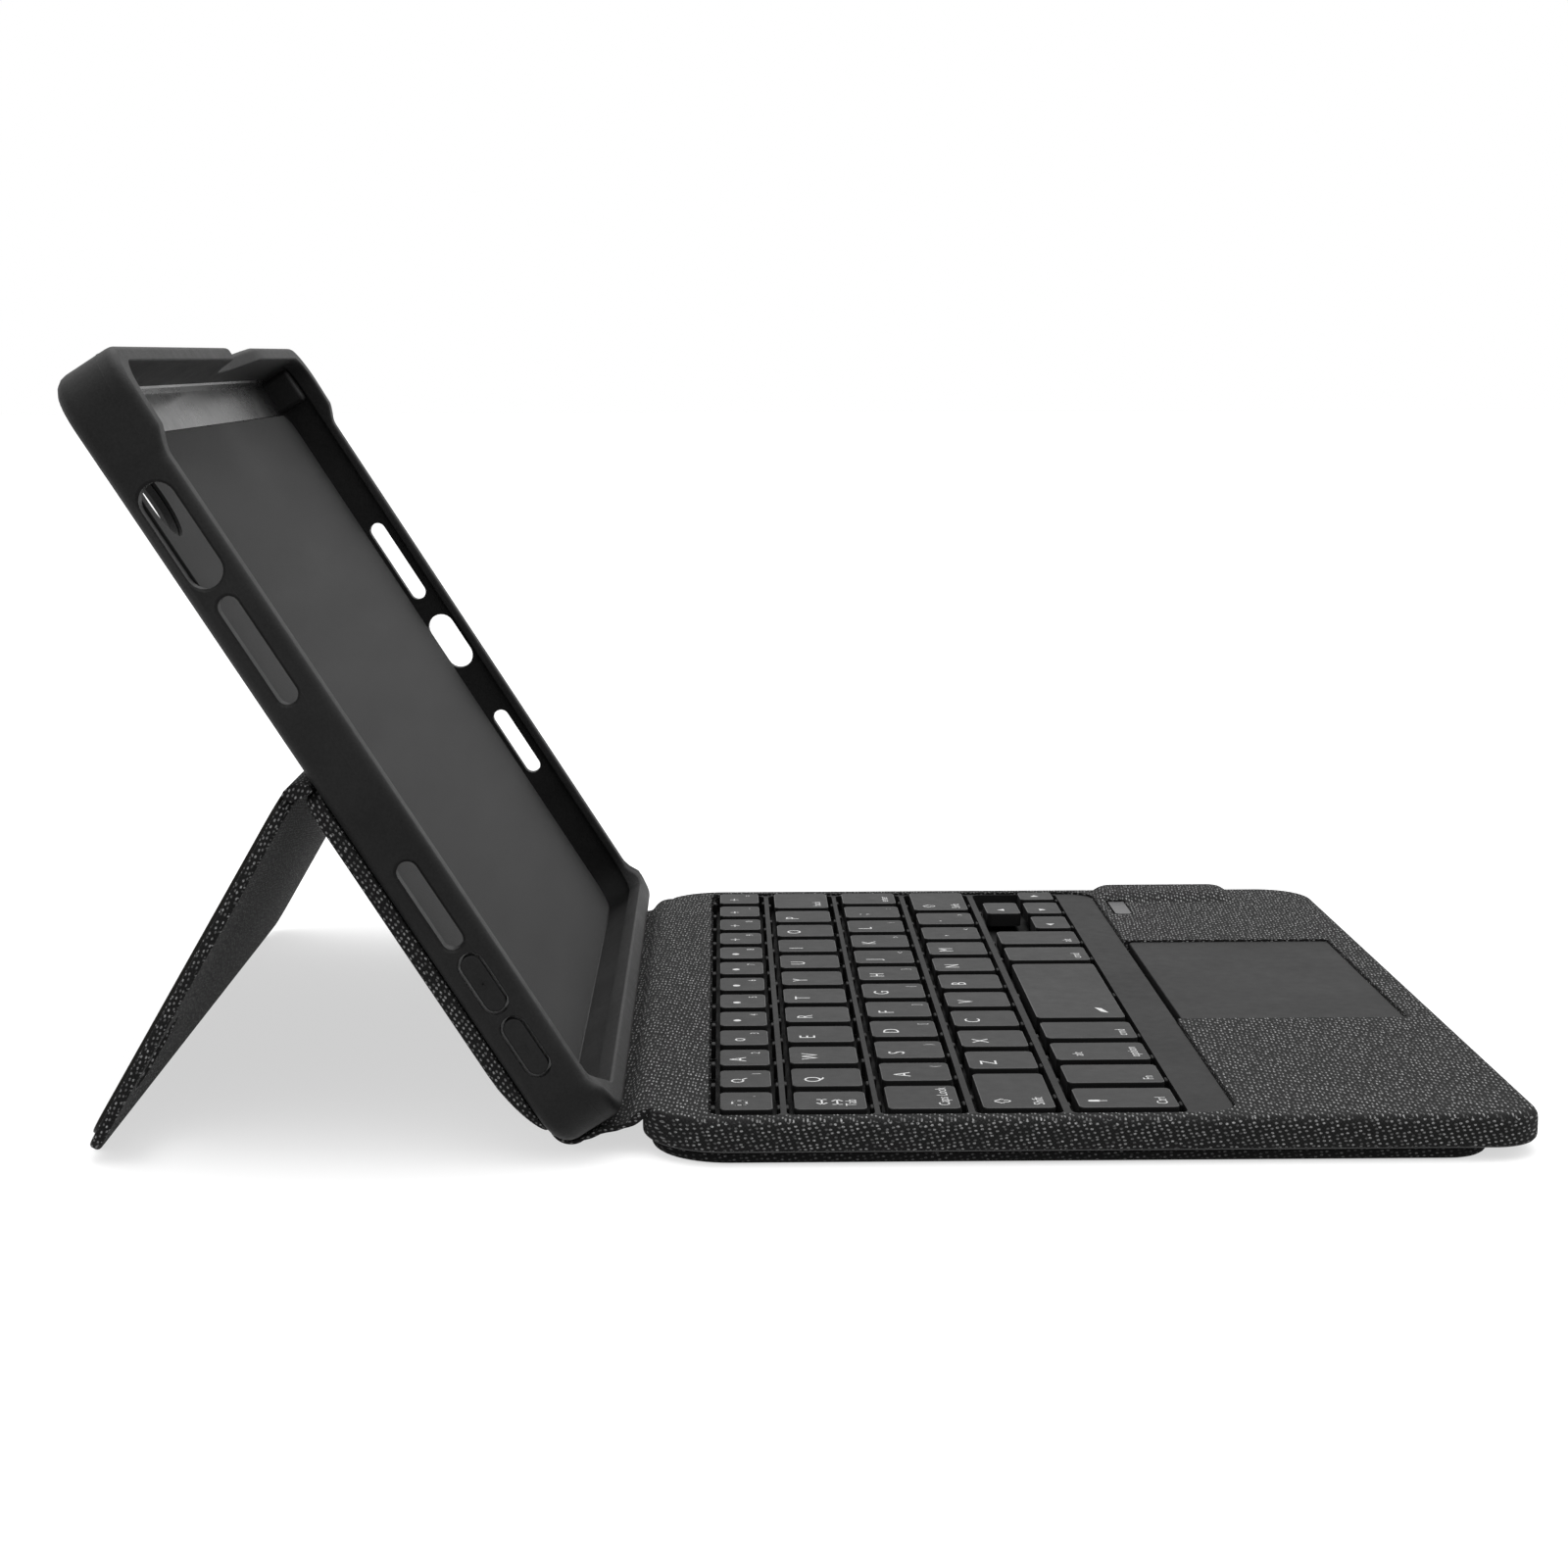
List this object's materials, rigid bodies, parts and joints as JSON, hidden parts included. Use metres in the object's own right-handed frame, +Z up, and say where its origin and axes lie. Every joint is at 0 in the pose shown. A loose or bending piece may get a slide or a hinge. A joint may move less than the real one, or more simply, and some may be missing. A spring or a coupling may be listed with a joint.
{
  "type": "tablet keyboard case",
  "caption": "Folding tablet case: soft tray on a folding spine, fold-out stand behind it and a cloth-covered keyboard with a touchpad.",
  "frame": {"origin": "middle of the bounding box's bottom face, with the case standing open on a table", "axes": "+X to the user's right, +Y away from the user, from the keyboard towards the tray, +Z up"},
  "size_m": [0.203, 0.244, 0.1341],
  "materials": {
    "tpu": "matte soft moulding with a fine grain",
    "fabric": "dark woven cloth with pale flecks",
    "lining": "smooth microfibre",
    "base_cloth": "smooth coated cloth",
    "deck_plastic": "satin",
    "key_plastic": "satin, with pale printed legends",
    "touchpad_plastic": "fine matte",
    "clear_plastic": "glossy, milky",
    "steel": "plain sheet steel",
    "film": "thin film",
    "foil": "foil pouch",
    "board": "coated circuit board"
  },
  "bodies": {
    "keyboard": {"top_cover": "fabric", "bottom_cover": "base_cloth", "base_plate": "steel", "membrane": "film", "key_deck": "deck_plastic", "battery": "foil", "circuit_board": "board", "charge_port": "steel", "status_window": "clear_plastic", "spine_fold_keyboard": "fabric", "top_row_keys": "key_plastic", "comma_period_keys": "key_plastic", "left_modifier_keys": "key_plastic", "right_modifier_keys": "key_plastic"},
    "spine": {"spine_panel": "fabric", "spine_fold_tray": "fabric"},
    "tray": {"tray_shell": "tpu", "tray_lining": "lining", "back_panel": "fabric", "stand_fold": "fabric"},
    "stand": {"stand_panel": "fabric", "stand_lining": "lining"},
    "volume_up": {"volume_up_pad": "tpu"},
    "volume_down": {"volume_down_pad": "tpu"},
    "touchpad": {"touchpad": "touchpad_plastic"},
    "power_switch": {"power_switch": "deck_plastic"},
    "key_tab": {"key_tab": "key_plastic"},
    "key_q": {"key_q": "key_plastic"},
    "key_w": {"key_w": "key_plastic"},
    "key_e": {"key_e": "key_plastic"},
    "key_r": {"key_r": "key_plastic"},
    "key_t": {"key_t": "key_plastic"},
    "key_y": {"key_y": "key_plastic"},
    "key_u": {"key_u": "key_plastic"},
    "key_i": {"key_i": "key_plastic"},
    "key_o": {"key_o": "key_plastic"},
    "key_p": {"key_p": "key_plastic"},
    "key_backspace": {"key_backspace": "key_plastic"},
    "key_caps": {"key_caps": "key_plastic"},
    "key_a": {"key_a": "key_plastic"},
    "key_s": {"key_s": "key_plastic"},
    "key_d": {"key_d": "key_plastic"},
    "key_f": {"key_f": "key_plastic"},
    "key_g": {"key_g": "key_plastic"},
    "key_h": {"key_h": "key_plastic"},
    "key_j": {"key_j": "key_plastic"},
    "key_k": {"key_k": "key_plastic"},
    "key_l": {"key_l": "key_plastic"},
    "key_semicolon": {"key_semicolon": "key_plastic"},
    "key_enter": {"key_enter": "key_plastic"},
    "key_shift_left": {"key_shift_left": "key_plastic"},
    "key_z": {"key_z": "key_plastic"},
    "key_x": {"key_x": "key_plastic"},
    "key_c": {"key_c": "key_plastic"},
    "key_v": {"key_v": "key_plastic"},
    "key_b": {"key_b": "key_plastic"},
    "key_n": {"key_n": "key_plastic"},
    "key_m": {"key_m": "key_plastic"},
    "key_shift_right": {"key_shift_right": "key_plastic"},
    "key_space": {"key_space": "key_plastic"}
  },
  "joints": [
    {"name": "spine_hinge", "type": "hinge", "parent": "keyboard", "child": "spine", "pos_m": [0, 0.02948, 0.0069], "axis": [1, 0, 0], "range_deg": [0, 117.8], "deforming": ["spine_fold_keyboard"]},
    {"name": "tray_hinge", "type": "hinge", "parent": "spine", "child": "tray", "pos_m": [0, 0.04168, 0.0005], "axis": [1, 0, 0], "range_deg": [-57.5, 4.7], "deforming": ["spine_fold_tray"]},
    {"name": "stand_hinge", "type": "hinge", "parent": "tray", "child": "stand", "pos_m": [0, 0.08414, 0.06184], "axis": [1, 0, 0], "range_deg": [-55, 117.3], "deforming": ["stand_fold"]},
    {"name": "touchpad_press", "type": "hinge", "parent": "keyboard", "child": "touchpad", "pos_m": [0.0057, -0.07232, 0.0072], "axis": [1, 0, 0], "range_deg": [0, 0.55], "stiffness_Nm_per_rad": 7},
    {"name": "power_slide", "type": "slide", "parent": "keyboard", "child": "power_switch", "axis": [0, 1, 0], "range_m": [0, 0.0026]},
    {"name": "volume_up_press", "type": "slide", "parent": "tray", "child": "volume_up", "axis": [1, 0, 0], "range_m": [0, 0.0005], "stiffness_N_per_m": 600},
    {"name": "volume_down_press", "type": "slide", "parent": "tray", "child": "volume_down", "axis": [1, 0, 0], "range_m": [0, 0.0005], "stiffness_N_per_m": 600},
    {"name": "key_tab_press", "type": "slide", "parent": "keyboard", "child": "key_tab", "axis": [0, 0, -1], "range_m": [0, 0.0012], "stiffness_N_per_m": 400},
    {"name": "key_q_press", "type": "slide", "parent": "keyboard", "child": "key_q", "axis": [0, 0, -1], "range_m": [0, 0.0012], "stiffness_N_per_m": 400},
    {"name": "key_w_press", "type": "slide", "parent": "keyboard", "child": "key_w", "axis": [0, 0, -1], "range_m": [0, 0.0012], "stiffness_N_per_m": 400},
    {"name": "key_e_press", "type": "slide", "parent": "keyboard", "child": "key_e", "axis": [0, 0, -1], "range_m": [0, 0.0012], "stiffness_N_per_m": 400},
    {"name": "key_r_press", "type": "slide", "parent": "keyboard", "child": "key_r", "axis": [0, 0, -1], "range_m": [0, 0.0012], "stiffness_N_per_m": 400},
    {"name": "key_t_press", "type": "slide", "parent": "keyboard", "child": "key_t", "axis": [0, 0, -1], "range_m": [0, 0.0012], "stiffness_N_per_m": 400},
    {"name": "key_y_press", "type": "slide", "parent": "keyboard", "child": "key_y", "axis": [0, 0, -1], "range_m": [0, 0.0012], "stiffness_N_per_m": 400},
    {"name": "key_u_press", "type": "slide", "parent": "keyboard", "child": "key_u", "axis": [0, 0, -1], "range_m": [0, 0.0012], "stiffness_N_per_m": 400},
    {"name": "key_i_press", "type": "slide", "parent": "keyboard", "child": "key_i", "axis": [0, 0, -1], "range_m": [0, 0.0012], "stiffness_N_per_m": 400},
    {"name": "key_o_press", "type": "slide", "parent": "keyboard", "child": "key_o", "axis": [0, 0, -1], "range_m": [0, 0.0012], "stiffness_N_per_m": 400},
    {"name": "key_p_press", "type": "slide", "parent": "keyboard", "child": "key_p", "axis": [0, 0, -1], "range_m": [0, 0.0012], "stiffness_N_per_m": 400},
    {"name": "key_backspace_press", "type": "slide", "parent": "keyboard", "child": "key_backspace", "axis": [0, 0, -1], "range_m": [0, 0.0012], "stiffness_N_per_m": 400},
    {"name": "key_caps_press", "type": "slide", "parent": "keyboard", "child": "key_caps", "axis": [0, 0, -1], "range_m": [0, 0.0012], "stiffness_N_per_m": 400},
    {"name": "key_a_press", "type": "slide", "parent": "keyboard", "child": "key_a", "axis": [0, 0, -1], "range_m": [0, 0.0012], "stiffness_N_per_m": 400},
    {"name": "key_s_press", "type": "slide", "parent": "keyboard", "child": "key_s", "axis": [0, 0, -1], "range_m": [0, 0.0012], "stiffness_N_per_m": 400},
    {"name": "key_d_press", "type": "slide", "parent": "keyboard", "child": "key_d", "axis": [0, 0, -1], "range_m": [0, 0.0012], "stiffness_N_per_m": 400},
    {"name": "key_f_press", "type": "slide", "parent": "keyboard", "child": "key_f", "axis": [0, 0, -1], "range_m": [0, 0.0012], "stiffness_N_per_m": 400},
    {"name": "key_g_press", "type": "slide", "parent": "keyboard", "child": "key_g", "axis": [0, 0, -1], "range_m": [0, 0.0012], "stiffness_N_per_m": 400},
    {"name": "key_h_press", "type": "slide", "parent": "keyboard", "child": "key_h", "axis": [0, 0, -1], "range_m": [0, 0.0012], "stiffness_N_per_m": 400},
    {"name": "key_j_press", "type": "slide", "parent": "keyboard", "child": "key_j", "axis": [0, 0, -1], "range_m": [0, 0.0012], "stiffness_N_per_m": 400},
    {"name": "key_k_press", "type": "slide", "parent": "keyboard", "child": "key_k", "axis": [0, 0, -1], "range_m": [0, 0.0012], "stiffness_N_per_m": 400},
    {"name": "key_l_press", "type": "slide", "parent": "keyboard", "child": "key_l", "axis": [0, 0, -1], "range_m": [0, 0.0012], "stiffness_N_per_m": 400},
    {"name": "key_semicolon_press", "type": "slide", "parent": "keyboard", "child": "key_semicolon", "axis": [0, 0, -1], "range_m": [0, 0.0012], "stiffness_N_per_m": 400},
    {"name": "key_enter_press", "type": "slide", "parent": "keyboard", "child": "key_enter", "axis": [0, 0, -1], "range_m": [0, 0.0012], "stiffness_N_per_m": 400},
    {"name": "key_shift_left_press", "type": "slide", "parent": "keyboard", "child": "key_shift_left", "axis": [0, 0, -1], "range_m": [0, 0.0012], "stiffness_N_per_m": 400},
    {"name": "key_z_press", "type": "slide", "parent": "keyboard", "child": "key_z", "axis": [0, 0, -1], "range_m": [0, 0.0012], "stiffness_N_per_m": 400},
    {"name": "key_x_press", "type": "slide", "parent": "keyboard", "child": "key_x", "axis": [0, 0, -1], "range_m": [0, 0.0012], "stiffness_N_per_m": 400},
    {"name": "key_c_press", "type": "slide", "parent": "keyboard", "child": "key_c", "axis": [0, 0, -1], "range_m": [0, 0.0012], "stiffness_N_per_m": 400},
    {"name": "key_v_press", "type": "slide", "parent": "keyboard", "child": "key_v", "axis": [0, 0, -1], "range_m": [0, 0.0012], "stiffness_N_per_m": 400},
    {"name": "key_b_press", "type": "slide", "parent": "keyboard", "child": "key_b", "axis": [0, 0, -1], "range_m": [0, 0.0012], "stiffness_N_per_m": 400},
    {"name": "key_n_press", "type": "slide", "parent": "keyboard", "child": "key_n", "axis": [0, 0, -1], "range_m": [0, 0.0012], "stiffness_N_per_m": 400},
    {"name": "key_m_press", "type": "slide", "parent": "keyboard", "child": "key_m", "axis": [0, 0, -1], "range_m": [0, 0.0012], "stiffness_N_per_m": 400},
    {"name": "key_shift_right_press", "type": "slide", "parent": "keyboard", "child": "key_shift_right", "axis": [0, 0, -1], "range_m": [0, 0.0012], "stiffness_N_per_m": 400},
    {"name": "key_space_press", "type": "slide", "parent": "keyboard", "child": "key_space", "axis": [0, 0, -1], "range_m": [0, 0.0012], "stiffness_N_per_m": 400}
  ]
}
